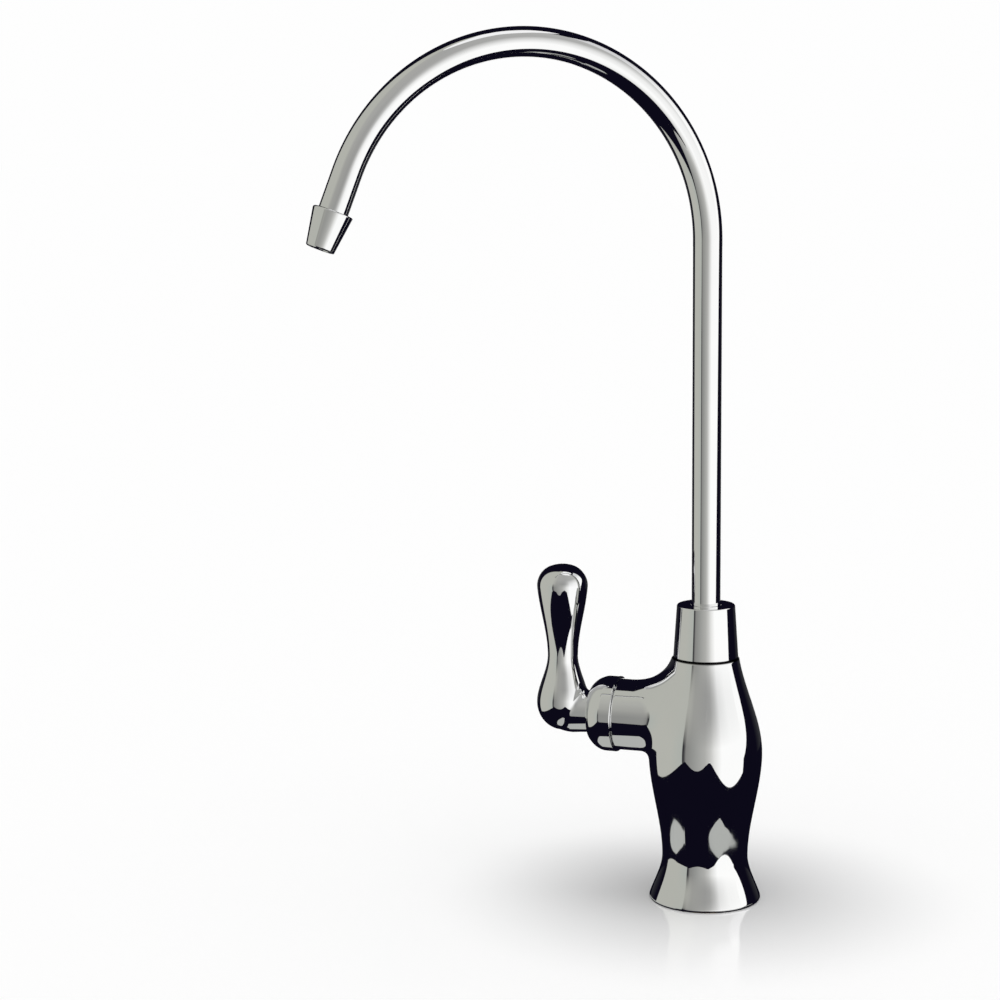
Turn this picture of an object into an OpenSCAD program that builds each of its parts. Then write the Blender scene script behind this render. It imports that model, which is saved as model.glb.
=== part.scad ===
// Drinking water filter tap: swivelling gooseneck spout on a vase-shaped body,
// with a quarter-turn ceramic valve and its lever on a side stub.
// Millimetres. Z is up, the worktop is at z = 0 and the spout points along -X.

/* [Spout] */
// Outside diameter of the spout tube
tube_od = 10; // [8:0.5:12]
// Wall of the spout tube
tube_wall = 1; // [0.6:0.1:1.4]
// Height of the tube's straight part above the worktop
straight_h = 231; // [180:1:320]
// Radius of the arch, to the middle of the tube
arch_r = 66; // [45:1:90]
// Angle through which the arch turns, in degrees
arch_sweep = 158.5; // [120:0.5:180]
// Length of straight tube between the arch and the outlet sleeve
tail_len = 13; // [2:0.5:30]
// How far the top of the sleeve stands out from the tube
tip_step = 1.85; // [1.2:0.05:3]
// How much the sleeve's radius narrows towards the outlet
tip_taper = 2.05; // [1:0.05:2.6]
// Length of tube held in the sleeve
tip_grip = 5; // [3:0.5:6]
// Length of the sleeve below the pierced disc
tip_nose = 4.8; // [2:0.1:12]
// Width of the ledge that holds the pierced disc
tip_ledge = 1; // [0.4:0.1:1.6]
// How far the tube's end laps over the pierced disc
straightener_lip = 0.2; // [0.1:0.05:0.4]
// Thickness of the pierced disc in the sleeve
straightener_t = 3; // [2:0.5:6]
// Diameter of one hole of the pierced disc
straightener_hole_d = 1.7; // [1:0.1:1.9]
// Width of the pierced disc outside its holes
straightener_rim = 0.6; // [0.4:0.1:0.8]

/* [Collar and spout bearing] */
// Wall of the bush that turns in the body
ferrule_wall = 1.95; // [1.7:0.05:2.6]
// Wall of the threaded spigot on top of the body
spigot_wall = 1.8; // [1.2:0.1:2.6]
// Height of the threaded spigot
spigot_h = 11.3; // [8:0.1:18]
// Wall of the collar at its top
collar_wall = 1.3; // [1:0.05:2.5]
// How much the collar's radius grows towards its foot
collar_taper = 1.2; // [0.3:0.01:2]
// Thickness of the collar's top
collar_top_t = 4.2; // [2:0.1:6]
// Thickness of the bush's flange
ferrule_flange_t = 2; // [1.2:0.1:3]
// How far the flange stays inside the spigot's edge
ferrule_flange_inset = 0.65; // [0.2:0.05:1.2]
// Depth of the bush's socket below the collar's foot
socket_depth = 9.6; // [6:0.1:16]
// Thickness of the lip under the tube's end
ferrule_lip = 2.5; // [1:0.1:4]
// Space between the bush and its socket's floor
ferrule_clear = 1; // [0.3:0.1:2]
// Casting between the valve chamber and the bush's socket
socket_floor_t = 3.5; // [2:0.1:6]
// Thickness of the slip ring above the flange
bearing_t = 1; // [0.6:0.1:2]
// Section of the bush's O-rings
spout_ring_d = 1.2; // [1:0.1:1.3]

/* [Body] */
// Radius of the foot
foot_r = 19.8; // [19:0.1:26]
// Slope of the foot's flare at the worktop
foot_flare = 0.3; // [0.1:0.01:0.5]
// Radius of the waist
waist_r = 15; // [14:0.1:18]
// Height of the waist
waist_z = 15.5; // [12:0.5:24]
// Radius of the belly
belly_r = 19.85; // [18:0.05:26]
// Height of the belly
belly_z = 52.6; // [44:0.1:60]
// How far the body's shoulder stands out from the collar
neck_step = 0.35; // [0.2:0.01:1.5]
// Slope of the body where it meets the collar
neck_slope = 0.16; // [0:0.01:0.4]
// Radius of the rounding on the body's shoulder
shoulder_round = 1; // [0.3:0.1:1.5]
// Wall of the hollow casting
body_wall = 3; // [2:0.1:4]
// Radius of the edge breaks on the polished parts
edge_break = 0.35; // [0.1:0.05:0.6]
// Thickness of the rubber ring in the foot
base_seal_t = 2.5; // [1.5:0.1:5]

/* [Valve] */
// Height of the valve's axis above the worktop
valve_z = 64; // [60:0.5:80]
// Angle from the spout round to the valve stub, in degrees
valve_turn = 40; // [0:1:180]
// Outside diameter of the stub
stub_od = 25.2; // [23:0.1:30]
// Wall of the stub
stub_wall = 3.1; // [2.6:0.1:4]
// Distance from the body's axis to the end of the stub
stub_len = 31.2; // [29:0.1:40]
// Depth of the valve chamber past the body's axis
seat_back = 2; // [1:0.1:4]
// Diameter of the water ways in the casting
way_d = 5; // [4:0.1:5.6]
// How much crossing water ways differ in radius
way_step = 0.3; // [0.1:0.1:0.5]
// Least casting left between the water ways
way_web = 2; // [1.5:0.1:2.5]
// Thickness of the seat's rubber ring
seat_seal_t = 2; // [1.5:0.1:3]
// Water space round the cartridge's cage
water_gap = 1.32; // [0.8:0.01:1.8]
// Wall of the cartridge's cage
cage_wall = 1.1; // [0.8:0.1:1.6]
// Thickness of one ceramic disc
disc_t = 3; // [2:0.1:4]
// Diameter of one port in the discs
port_d = 3.4; // [2.4:0.1:3.8]
// Width of the discs outside their ports
port_rim = 0.9; // [0.6:0.1:1.2]
// Width of the stem's tongue that turns the upper disc
tongue_w = 3; // [2:0.1:3.5]
// Diameter of the valve stem
stem_d = 8; // [6.5:0.1:8.6]
// Depth of the flat on the stem for the grub screw
stem_flat = 0.4; // [0.2:0.1:0.8]
// Thickness of the stem's drive flange
stem_flange_t = 3; // [2:0.1:4]
// Thickness of the slip washer above the flange
thrust_t = 0.6; // [0.4:0.1:1]
// Thickness of the shell's flange on the stub
shell_flange_t = 2; // [1.2:0.1:3]
// Length of the shell's nose in the domed nut
nose_len = 4.2; // [3.5:0.1:5]
// Wall of the shell's nose
nose_wall = 3.5; // [2:0.1:4]
// Width of the domed nut's face on the stub
skirt_wall = 0.95; // [0.6:0.05:1.6]
// Thickness of the stem's retaining ring
clip_t = 0.8; // [0.5:0.1:1.2]
// Depth of the retaining ring's groove
clip_groove = 0.6; // [0.4:0.1:1]
// How far the retaining ring stands out from the stem
clip_w = 1.8; // [1.2:0.1:2.6]
// Section of the valve's O-rings
valve_ring_d = 1.2; // [1:0.1:1.4]
// How far the domed nut's rim stands out from the stub
dome_step = 0.8; // [0.3:0.1:1.5]
// Height of the rim on the domed nut
dome_rim = 3.7; // [2.5:0.1:4.5]
// Depth of the dome, if it were closed
dome_depth = 9; // [8:0.1:13]

/* [Lever] */
// Wall of the lever's hub round the stem
hub_wall = 3.2; // [2.4:0.1:4]
// Length of hub that shows between the lever and the domed nut
hub_show = 1.7; // [0.8:0.1:8]
// How far the domed nut's end stands out from the hub
dome_lip = 2.6; // [0.5:0.1:3]
// How much the hub widens towards the lever
hub_flare = 0.6; // [0:0.1:1]
// Length of the hub's rounded end, inside the lever's base
hub_end = 11.5; // [9:0.1:13]
// How far the hub's end stays inside the lever's base
hub_end_cover = 2; // [1:0.1:4]
// Greatest radius of the lever's base
lever_base_r = 9.3; // [8.6:0.1:10]
// Height of that greatest radius above the valve's axis
lever_base_h = 2.9; // [1:0.1:6]
// Depth of the lever's base below the valve's axis
lever_drop = 7.1; // [6:0.1:12]
// Radius of the lever's waist
lever_waist_r = 5.38; // [3.5:0.01:8]
// Height of the lever's waist above the valve's axis
lever_waist_h = 20; // [14:0.5:28]
// Radius of the lever's knob
knob_r = 9.05; // [8:0.05:14]
// Radius of the knob's rounded shoulder
knob_round = 7.5; // [5:0.1:8]
// Height of the knob's greatest radius above the valve's axis
knob_h = 45.1; // [36:0.1:70]
// Slope of the lever where it meets the knob
knob_slope = 0.1; // [0:0.01:0.3]
// Depth of metal past the stem's end
stem_cover = 2.5; // [1:0.1:6]
// Diameter of the grub screw under the hub
screw_d = 4; // [3:0.1:5]

/* [Fixing] */
// Outside diameter of the threaded shank
shank_od = 11.1; // [9:0.1:14]
// Wall of the shank
shank_wall = 2.55; // [1.5:0.05:3.2]
// Length of shank screwed into the body
shank_in = 18; // [10:0.5:24]
// Free thread below the mounting nut
thread_spare = 16.2; // [4:0.1:50]
// Wall of the boss that takes the shank
boss_wall = 3.4; // [2:0.1:4]
// Thickness of the worktop in the rest pose
worktop_t = 20; // [3:0.5:40]
// Width of the rubber washer's ring
backing_w = 10.1; // [6:0.1:16]
// Thickness of the rubber washer
backing_t = 2.5; // [1.5:0.1:4]
// Width of the steel washer's ring
clamp_w = 9.1; // [5:0.1:15]
// Thickness of the steel washer
clamp_t = 1.5; // [1:0.1:3]
// Width of the spring washer's ring
lock_w = 3.1; // [2:0.1:5]
// Thickness of the spring washer
lock_t = 1.8; // [1:0.1:3]
// Gap cut through the spring washer
lock_gap = 1.5; // [0.5:0.1:3]
// Least wall of the mounting nut, at its flats
nut_wall = 3.2; // [2:0.1:6]
// Height of the mounting nut
nut_t = 8; // [5:0.1:10]

/* [Inlet connector] */
// Diameter of the supply tube
supply_d = 6.35; // [4:0.05:8]
// Length of shank held in the connector
inlet_grip = 12; // [8:0.5:16]
// Least wall of the connector's hexagon, at its flats
inlet_hex_wall = 2.95; // [2:0.05:6]
// How far the tube's seat stands in from the tube
inlet_ledge = 0.7; // [0.4:0.1:1.2]
// Thickness of the connector's inner web
inlet_web = 4; // [2:0.5:6]
// Depth of the tube's seat above the collet
inlet_seat = 10; // [6:0.5:16]
// Length of the collet's shell
collet_len = 8; // [5:0.5:12]
// Wall of the collet
collet_wall = 1.8; // [1.2:0.1:2.4]
// Travel of the collet
collet_travel = 1.5; // [1:0.1:2.5]
// Thickness of the collet's flange
collet_flange_t = 1.5; // [1:0.1:3]
// Section of the tube's O-ring
inlet_ring_d = 1.4; // [1:0.1:1.6]
// Wall of the connector round the collet
inlet_wall = 2.6; // [1.5:0.1:4]

/* [Clearances] */
// Radial clearance of parts that turn or slide in each other
run_gap = 0.05; // [0.02:0.01:0.09]
// Radial clearance of screwed and brazed parts
join_gap = 0.03; // [0.01:0.01:0.06]
// Radial clearance of the O-rings
ring_gap = 0.03; // [0.02:0.01:0.06]
// Axial clearance of parts that turn on each other
face_gap = 0.05; // [0.02:0.01:0.1]
// Gap between the lever's hub and the domed nut
hub_gap = 0.3; // [0.2:0.05:0.6]
// Radial clearance of the washers on the shank
washer_gap = 0.3; // [0.1:0.05:0.6]
// Play of the stem's tongue in the upper disc
tongue_gap = 0.1; // [0.05:0.05:0.2]

/* [Hidden] */
$fn = 64;
CHROME = "#c9ced2";
BRASS = "#c8a24e";
STEEL = "#9aa0a6";
RUBBER = "#26272a";
CERAMIC = "#f1efe8";
ACETAL = "#dfe2e4";
// Cuts reach this far past the faces that they open
over = 1;

// Spout and its bearing, from the tube outwards
tube_r = tube_od / 2;
tube_in_r = tube_r - tube_wall;
ferrule_r = tube_r + ferrule_wall;
socket_r = ferrule_r + run_gap;
spigot_r = socket_r + spigot_wall;
ferrule_flange_r = spigot_r - ferrule_flange_inset;
collar_bore_r = spigot_r + join_gap;
collar_top_r = collar_bore_r + collar_wall;
collar_base_r = collar_top_r + collar_taper;
neck_r = collar_base_r + neck_step;
tip_top_r = tube_r + tip_step;
tip_out_r = tip_top_r - tip_taper;
pocket_r = tube_in_r + straightener_lip;
outlet_r = pocket_r - tip_ledge;
tip_len = tip_grip + straightener_t + tip_nose;

// Valve chamber and the parts in it, from the stub's wall inwards
stub_r = stub_od / 2;
chamber_r = stub_r - stub_wall;
shell_r = chamber_r - join_gap;
cage_r = chamber_r - water_gap;
cage_in_r = cage_r - cage_wall;
disc_r = cage_in_r - run_gap;
stem_r = stem_d / 2;
stem_bore_r = stem_r + run_gap;
port_r = port_d / 2;
port_at = disc_r - port_r - port_rim;
tongue_h = disc_t / 2;
shell_flange_r = stub_r - skirt_wall - run_gap;
nose_r = stem_r + nose_wall;
clip_r = stem_r + clip_w;
clip_groove_r = stem_r - clip_groove;
hub_r = stem_r + hub_wall;

// Places along the valve's axis, from the seat outwards
seat_l = -seat_back;
fixed_l = seat_l + seat_seal_t;
moving_l = fixed_l + disc_t + face_gap;
flange_l = moving_l + disc_t;
thrust_l = flange_l + stem_flange_t + face_gap;
shoulder_l = thrust_l + thrust_t;
nose_l = stub_len + shell_flange_t + nose_len;
clip_l = nose_l + face_gap;
cage_end_l = shoulder_l + cage_wall;
stem_ring_l = [for (k = [1, 2]) shoulder_l + k * (stub_len - shoulder_l) / 3];
dome_r = stub_r + dome_step;
dome_l = stub_len + dome_rim;
dome_end_r = hub_r + dome_lip;
dome_end_l = dome_l + dome_depth * sqrt(1 - pow(dome_end_r / dome_r, 2));
hub_l = dome_end_l + hub_gap;
lever_reach = hub_l + hub_show + lever_base_r;
stem_end_l = lever_reach - stem_cover;
screw_l = (hub_l + stem_end_l) / 2;

// Heights in the body
way_r = way_d / 2;
chamber_floor_z = valve_z - chamber_r;
chamber_top_z = valve_z + chamber_r;
socket_floor_z = chamber_top_z + socket_floor_t;
neck_z = socket_floor_z + socket_depth;
spigot_z = neck_z + spigot_h;
ferrule_z = socket_floor_z + ferrule_clear;
tube_seat_z = ferrule_z + ferrule_lip;
ferrule_flange_z = spigot_z + face_gap;
bearing_z = ferrule_flange_z + ferrule_flange_t + face_gap;
collar_ceiling_z = bearing_z + bearing_t;
collar_z = collar_ceiling_z + collar_top_t;
spout_ring_z = [for (k = [1, 2]) tube_seat_z + k * (spigot_z - tube_seat_z) / 3];
cross_way_z = chamber_floor_z - way_r - way_web;
cavity_z = cross_way_z - way_r - way_web;
back_way_l = seat_l - way_d - way_web / 2;
outlet_way_l = cage_r / 2;

// Shank, clamp and inlet
shank_r = shank_od / 2;
shank_bore_r = shank_r - shank_wall;
boss_r = shank_r + boss_wall;
shank_top_z = base_seal_t + shank_in;
washer_r = shank_r + washer_gap;
backing_z = -worktop_t - backing_t;
clamp_z = backing_z - clamp_t;
lock_z = clamp_z - lock_t;
nut_z = lock_z - nut_t;
nut_af = 2 * (shank_r + nut_wall);
shank_len = thread_spare + inlet_grip - nut_z;
inlet_af = 2 * (shank_r + inlet_hex_wall);
inlet_web_z = -shank_len - inlet_web;
inlet_seat_z = inlet_web_z - inlet_seat;
inlet_end_z = inlet_seat_z - collet_len;
supply_r = supply_d / 2;
tube_seat_r = supply_r + run_gap;
collet_r = tube_seat_r + collet_wall;
inlet_r = collet_r + run_gap + inlet_wall;
inlet_ring_z = inlet_seat_z + inlet_ring_d;

// Even steps from a to b
function spread(a, b, steps) = [for (k = [0 : steps]) a + (b - a) * k / steps];

// Cubic curve from a to b over the length h, with the slopes ma and mb at its ends
function curve(t, h, a, b, ma, mb) =
    (2 * t^3 - 3 * t^2 + 1) * a + (t^3 - 2 * t^2 + t) * h * ma
    + (3 * t^2 - 2 * t^3) * b + (t^3 - t^2) * h * mb;

// Points [radius, height] of such a curve from the height z0 to z1
function curve_points(z0, z1, a, b, ma, mb, steps) =
    [for (t = spread(0, 1, steps)) [curve(t, z1 - z0, a, b, ma, mb), z0 + (z1 - z0) * t]];

// Radius of the body at a height
function body_r(z) =
    z < waist_z ? curve(z / waist_z, waist_z, foot_r, waist_r, -foot_flare, 0)
    : z < belly_z ? curve((z - waist_z) / (belly_z - waist_z), belly_z - waist_z, waist_r, belly_r, 0, 0)
    : curve((z - belly_z) / (neck_z - belly_z), neck_z - belly_z, belly_r, neck_r, 0, -neck_slope);

// Points of an elliptic arc [radius, height] between two angles
function arc_points(centre, rx, ry, from, to, steps) =
    [for (a = spread(from, to, steps)) [centre[0] + rx * cos(a), centre[1] + ry * sin(a)]];

// Points of a groove of the half width h at the height z, from the radius r down to r_in
function groove_points(r, r_in, z, h) = [[r, z - h], [r_in, z - h], [r_in, z + h], [r, z + h]];

// A list without its last item
function but_last(list) = [for (k = [0 : len(list) - 2]) list[k]];

// Ring with a rectangular section
module ring(r_in, r_out, z, h) {
    translate([0, 0, z])
        difference() {
            cylinder(r = r_out, h = h);
            translate([0, 0, -over]) cylinder(r = r_in, h = h + 2 * over);
        }
}

// Ring with a round section
module o_ring(r_mid, d, z) {
    translate([0, 0, z])
        rotate_extrude()
            translate([r_mid, 0]) circle(d = d, $fn = 24);
}

// Turned part from an outline of [radius, height]
module turned(outline) {
    rotate_extrude($fn = 96) polygon(outline);
}

// Hexagon with its corners turned off
module hexagon(af, z, h) {
    corner_r = af / 2 / cos(30);
    bevel = (corner_r - af / 2) / 2;
    translate([0, 0, z])
        intersection() {
            cylinder(r = corner_r, h = h, $fn = 6);
            turned([[0, 0], [af / 2, 0], [corner_r, bevel], [corner_r, h - bevel], [af / 2, h], [0, h]]);
        }
}

// Turns the X axis to point along the stub
module valve_side() {
    translate([0, 0, valve_z]) rotate([0, 0, 180 - valve_turn]) children();
}

// Turns the Z axis to point along the stub
module on_valve() {
    valve_side() rotate([0, 90, 0]) children();
}

// Places children at the end of the arch, with -Z along the outflow
module on_outlet() {
    translate([-arch_r, 0, straight_h])
        rotate([0, -arch_sweep, 0])
            translate([arch_r, 0, 0])
                rotate([0, 180, 0])
                    translate([0, 0, -tail_len]) children();
}

// Solid rod along the spout's line
module spout_line(r, start_z, end_len) {
    translate([0, 0, start_z]) cylinder(r = r, h = straight_h - start_z);
    translate([-arch_r, 0, straight_h])
        rotate([90, 0, 0])
            rotate_extrude(angle = arch_sweep, $fn = 128)
                translate([arch_r, 0]) circle(r = r);
    on_outlet() translate([0, 0, -end_len]) cylinder(r = r, h = tail_len + end_len);
}

module spout_tube() {
    color(CHROME)
        difference() {
            spout_line(tube_r, tube_seat_z, tip_grip);
            spout_line(tube_in_r, tube_seat_z - over, tip_grip + over);
        }
}

module spout_tip() {
    grip_r = tube_r + join_gap;
    ledge_z = -tip_grip - straightener_t;
    color(CHROME)
        on_outlet()
            turned([
                [grip_r, 0], [tip_top_r - edge_break, 0], [tip_top_r, -edge_break],
                [tip_out_r, edge_break - tip_len], [tip_out_r - edge_break, -tip_len],
                [outlet_r, -tip_len], [outlet_r, ledge_z], [pocket_r, ledge_z],
                [pocket_r, -tip_grip], [grip_r, -tip_grip]
            ]);
}

module flow_straightener() {
    hole_at = pocket_r - straightener_hole_d / 2 - straightener_rim;
    color(ACETAL)
        on_outlet()
            translate([0, 0, -tip_grip - straightener_t])
                difference() {
                    cylinder(r = pocket_r - join_gap, h = straightener_t);
                    for (a = [0 : 60 : 300])
                        rotate(a) translate([hole_at, 0, -over])
                            cylinder(d = straightener_hole_d, h = straightener_t + 2 * over);
                    translate([0, 0, -over])
                        cylinder(d = straightener_hole_d, h = straightener_t + 2 * over);
                }
}

module spout_ferrule() {
    bore_r = tube_r + join_gap;
    groove_r = socket_r - spout_ring_d - 2 * ring_gap;
    groove_h = spout_ring_d / 2 + 2 * ring_gap;
    top_z = ferrule_flange_z + ferrule_flange_t;
    grooves = [for (z = spout_ring_z) each groove_points(ferrule_r, groove_r, z, groove_h)];
    color(BRASS)
        turned(concat(
            [[tube_in_r, ferrule_z], [ferrule_r, ferrule_z]],
            grooves,
            [[ferrule_r, ferrule_flange_z], [ferrule_flange_r, ferrule_flange_z], [ferrule_flange_r, top_z],
                [bore_r, top_z], [bore_r, tube_seat_z], [tube_in_r, tube_seat_z]]
        ));
}

module spout_o_rings() {
    color(RUBBER)
        for (z = spout_ring_z)
            o_ring(socket_r - ring_gap - spout_ring_d / 2, spout_ring_d, z);
}

module spout_bearing_ring() {
    color(ACETAL) ring(tube_r + 2 * run_gap, ferrule_flange_r, bearing_z, bearing_t);
}

module spout_collar() {
    hole_r = tube_r + run_gap;
    color(CHROME)
        turned([
            [collar_bore_r, neck_z], [collar_base_r - edge_break, neck_z],
            [collar_base_r, neck_z + edge_break],
            [collar_top_r, collar_z - edge_break], [collar_top_r - edge_break, collar_z],
            [hole_r, collar_z], [hole_r, collar_ceiling_z], [collar_bore_r, collar_ceiling_z]
        ]);
}

// Outer form of the casting
module body_form() {
    steps = 12;
    round_steps = 5;
    round_z = neck_z - shoulder_round;
    round_at = [body_r(round_z) - shoulder_round, round_z];
    heights = concat(
        but_last(spread(edge_break, waist_z, steps)),
        but_last(spread(waist_z, belly_z, steps)),
        but_last(spread(belly_z, round_z, steps))
    );
    turned(concat(
        [[0, 0], [foot_r - edge_break, 0]],
        [for (z = heights) [body_r(z), z]],
        arc_points(round_at, shoulder_round, shoulder_round, 0, 90, round_steps),
        [[spigot_r, neck_z], [spigot_r, spigot_z], [0, spigot_z]]
    ));
    on_valve() cylinder(r = stub_r, h = stub_len);
}

// Hollow of the foot, round the boss for the shank
module body_cavity() {
    steps = 10;
    turned(concat(
        [[0, -over], [body_r(0) - body_wall, -over]],
        [for (z = spread(0, cavity_z, steps)) [body_r(z) - body_wall, z]],
        [[boss_r, cavity_z], [boss_r, base_seal_t], [0, base_seal_t]]
    ));
}

// Water ways from the shank round to the seat, and from the chamber up to the spout
module body_ways() {
    translate([0, 0, base_seal_t - over]) cylinder(r = shank_r + join_gap, h = shank_in + 2 * over);
    translate([0, 0, shank_top_z]) cylinder(r = way_r, h = cross_way_z - shank_top_z);
    translate([0, 0, cross_way_z - valve_z])
        on_valve() translate([0, 0, back_way_l]) cylinder(r = way_r - way_step, h = -back_way_l);
    valve_side()
        translate([back_way_l, 0, cross_way_z - valve_z]) cylinder(r = way_r, h = valve_z - cross_way_z);
    on_valve()
        translate([0, 0, back_way_l]) cylinder(r = way_r + way_step, h = seat_l - back_way_l + over);
    valve_side()
        translate([outlet_way_l, 0, 0]) cylinder(r = way_r, h = socket_floor_z - valve_z + over);
}

module body() {
    mouth_r = chamber_r + valve_ring_d + 2 * ring_gap;
    mouth_t = valve_ring_d + 2 * ring_gap;
    color(CHROME)
        difference() {
            body_form();
            body_cavity();
            body_ways();
            on_valve() translate([0, 0, seat_l]) cylinder(r = chamber_r, h = stub_len - seat_l + over);
            on_valve() translate([0, 0, stub_len - mouth_t]) cylinder(r = mouth_r, h = mouth_t + over);
            translate([0, 0, socket_floor_z]) cylinder(r = socket_r, h = spigot_z - socket_floor_z + over);
        }
}

module base_seal() {
    seal_r = body_r(base_seal_t) - body_wall - 2 * run_gap;
    color(RUBBER) ring(shank_r + washer_gap, seal_r, 0, base_seal_t);
}

module valve_bonnet() {
    skirt_r = shell_flange_r + run_gap;
    skirt_l = stub_len + shell_flange_t + run_gap;
    thread_r = nose_r + join_gap;
    clip_room_r = clip_r + hub_gap;
    clip_room_l = clip_l + clip_t + hub_gap;
    stem_hole_r = stem_r + 2 * hub_gap;
    end_angle = acos(dome_end_r / dome_r);
    steps = 14;
    color(CHROME)
        on_valve()
            turned(concat(
                [[skirt_r, stub_len], [dome_r - edge_break, stub_len], [dome_r, stub_len + edge_break]],
                arc_points([0, dome_l], dome_r, dome_depth, 0, end_angle, steps),
                [[stem_hole_r, dome_end_l], [stem_hole_r, clip_room_l], [clip_room_r, clip_room_l],
                    [clip_room_r, nose_l], [thread_r, nose_l], [thread_r, skirt_l], [skirt_r, skirt_l]]
            ));
}

module cartridge_housing() {
    window_w = disc_r;
    window_l = moving_l + disc_t / 2;
    window_end_l = flange_l + stem_flange_t;
    color(BRASS)
        on_valve()
            difference() {
                turned([
                    [cage_in_r, seat_l + face_gap], [cage_r, seat_l + face_gap], [cage_r, cage_end_l],
                    [shell_r, cage_end_l], [shell_r, stub_len], [shell_flange_r, stub_len],
                    [shell_flange_r, stub_len + shell_flange_t], [nose_r, stub_len + shell_flange_t],
                    [nose_r, nose_l], [stem_bore_r, nose_l], [stem_bore_r, shoulder_l],
                    [cage_in_r, shoulder_l]
                ]);
                translate([0, 0, (window_l + window_end_l) / 2])
                    cube([window_w, 2 * cage_r + over, window_end_l - window_l], center = true);
            }
}

module cartridge_o_ring() {
    mid_r = chamber_r + ring_gap + valve_ring_d / 2;
    color(RUBBER) on_valve() o_ring(mid_r, valve_ring_d, stub_len - ring_gap - valve_ring_d / 2);
}

module seat_seal() {
    seal_in_r = disc_r - port_rim + ring_gap;
    color(RUBBER) on_valve() ring(seal_in_r, disc_r - ring_gap, seat_l, seat_seal_t);
}

// Ceramic disc with its two ports
module ported_disc(l) {
    translate([0, 0, l])
        difference() {
            cylinder(r = disc_r, h = disc_t);
            for (side = [-1, 1])
                translate([0, side * port_at, -over]) cylinder(r = port_r, h = disc_t + 2 * over);
        }
}

module fixed_disc() {
    color(CERAMIC) on_valve() ported_disc(fixed_l);
}

module moving_disc() {
    slot_h = tongue_h + tongue_gap;
    color(CERAMIC)
        on_valve()
            difference() {
                ported_disc(moving_l);
                translate([0, 0, flange_l - slot_h / 2 + over / 2])
                    cube([2 * disc_r + over, tongue_w + 2 * tongue_gap, slot_h + over], center = true);
            }
}

module valve_stem() {
    groove_r = stem_bore_r - valve_ring_d - 2 * ring_gap;
    groove_h = valve_ring_d / 2 + 2 * ring_gap;
    flange_r = disc_r - face_gap;
    flange_end_l = flange_l + stem_flange_t;
    grooves = [for (l = stem_ring_l) each groove_points(stem_r, groove_r, l, groove_h)];
    color(BRASS)
        on_valve() {
            difference() {
                turned(concat(
                    [[0, flange_l], [flange_r, flange_l], [flange_r, flange_end_l], [stem_r, flange_end_l]],
                    grooves,
                    [[stem_r, clip_l], [clip_groove_r, clip_l], [clip_groove_r, clip_l + clip_t + face_gap],
                        [stem_r, clip_l + clip_t + face_gap], [stem_r, stem_end_l], [0, stem_end_l]]
                ));
                for (side = [-1, 1])
                    translate([0, side * disc_r, flange_l - over])
                        cylinder(r = disc_r - port_at + port_r, h = stem_flange_t + over);
                translate([stem_r - stem_flat, -stem_r, hub_l]) cube([stem_r, 2 * stem_r, stem_end_l]);
            }
            translate([0, 0, flange_l - tongue_h / 2])
                cube([2 * port_at, tongue_w, tongue_h], center = true);
        }
}

module thrust_washer() {
    color(ACETAL) on_valve() ring(stem_r + run_gap, disc_r - face_gap, thrust_l, thrust_t);
}

module stem_o_rings() {
    color(RUBBER)
        on_valve()
            for (l = stem_ring_l)
                o_ring(stem_bore_r - ring_gap - valve_ring_d / 2, valve_ring_d, l);
}

module stem_clip() {
    gap_w = stem_r;
    color(STEEL)
        on_valve()
            difference() {
                ring(clip_groove_r + join_gap, clip_r, clip_l + face_gap / 2, clip_t);
                translate([-gap_w / 2, 0, clip_l - over]) cube([gap_w, 2 * clip_r, clip_t + 2 * over]);
            }
}

// Outline of the lever from its foot up to the top of the knob
function lever_outline() =
    let (
        steps = 10,
        blend = atan(knob_slope),
        crown_r = knob_r - knob_round,
        blend_r = crown_r + knob_round * cos(blend),
        blend_h = knob_h - knob_round * sin(blend)
    )
    concat(
        but_last(arc_points([0, lever_base_h], lever_base_r, lever_base_h + lever_drop, -90, 0, steps)),
        but_last(curve_points(lever_base_h, lever_waist_h, lever_base_r, lever_waist_r, 0, 0, steps)),
        but_last(curve_points(lever_waist_h, blend_h, lever_waist_r, blend_r, 0, knob_slope, steps)),
        arc_points([crown_r, knob_h], knob_round, knob_round, -blend, 90, steps),
        [[0, knob_h + knob_round]]
    );

// Outline of the hub round the stem, with a rounded end inside the lever's base
function hub_outline() =
    let (
        steps = 10,
        wide_r = hub_r + hub_flare,
        wide_l = lever_reach + lever_base_r - hub_end_cover - hub_end
    )
    concat(
        [[0, hub_l], [hub_r, hub_l]],
        arc_points([0, wide_l], wide_r, hub_end, 0, 90, steps)
    );

module lever_handle() {
    screw_hole_h = hub_r + hub_flare + over;
    color(CHROME)
        difference() {
            union() {
                valve_side() translate([lever_reach, 0, 0]) turned(lever_outline());
                on_valve() turned(hub_outline());
            }
            on_valve()
                translate([0, 0, hub_l - over])
                    cylinder(r = stem_r + join_gap, h = stem_end_l - hub_l + over + face_gap);
            valve_side()
                translate([screw_l, 0, -screw_hole_h])
                    cylinder(d = screw_d + 2 * join_gap, h = screw_hole_h);
        }
}

module handle_screw() {
    tip_h = stem_r - stem_flat + join_gap;
    hex_r = screw_d / 4;
    screw_h = hub_r - tip_h - hub_gap;
    color(STEEL)
        valve_side()
            translate([screw_l, 0, -tip_h - screw_h])
                difference() {
                    cylinder(d = screw_d, h = screw_h);
                    translate([0, 0, -over]) cylinder(r = hex_r, h = screw_h / 2 + over, $fn = 6);
                }
}

module shank() {
    color(BRASS)
        translate([0, 0, -shank_len])
            difference() {
                cylinder(r = shank_r, h = shank_len + shank_top_z);
                translate([0, 0, -over]) cylinder(r = shank_bore_r, h = shank_len + shank_top_z + 2 * over);
            }
}

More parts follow.
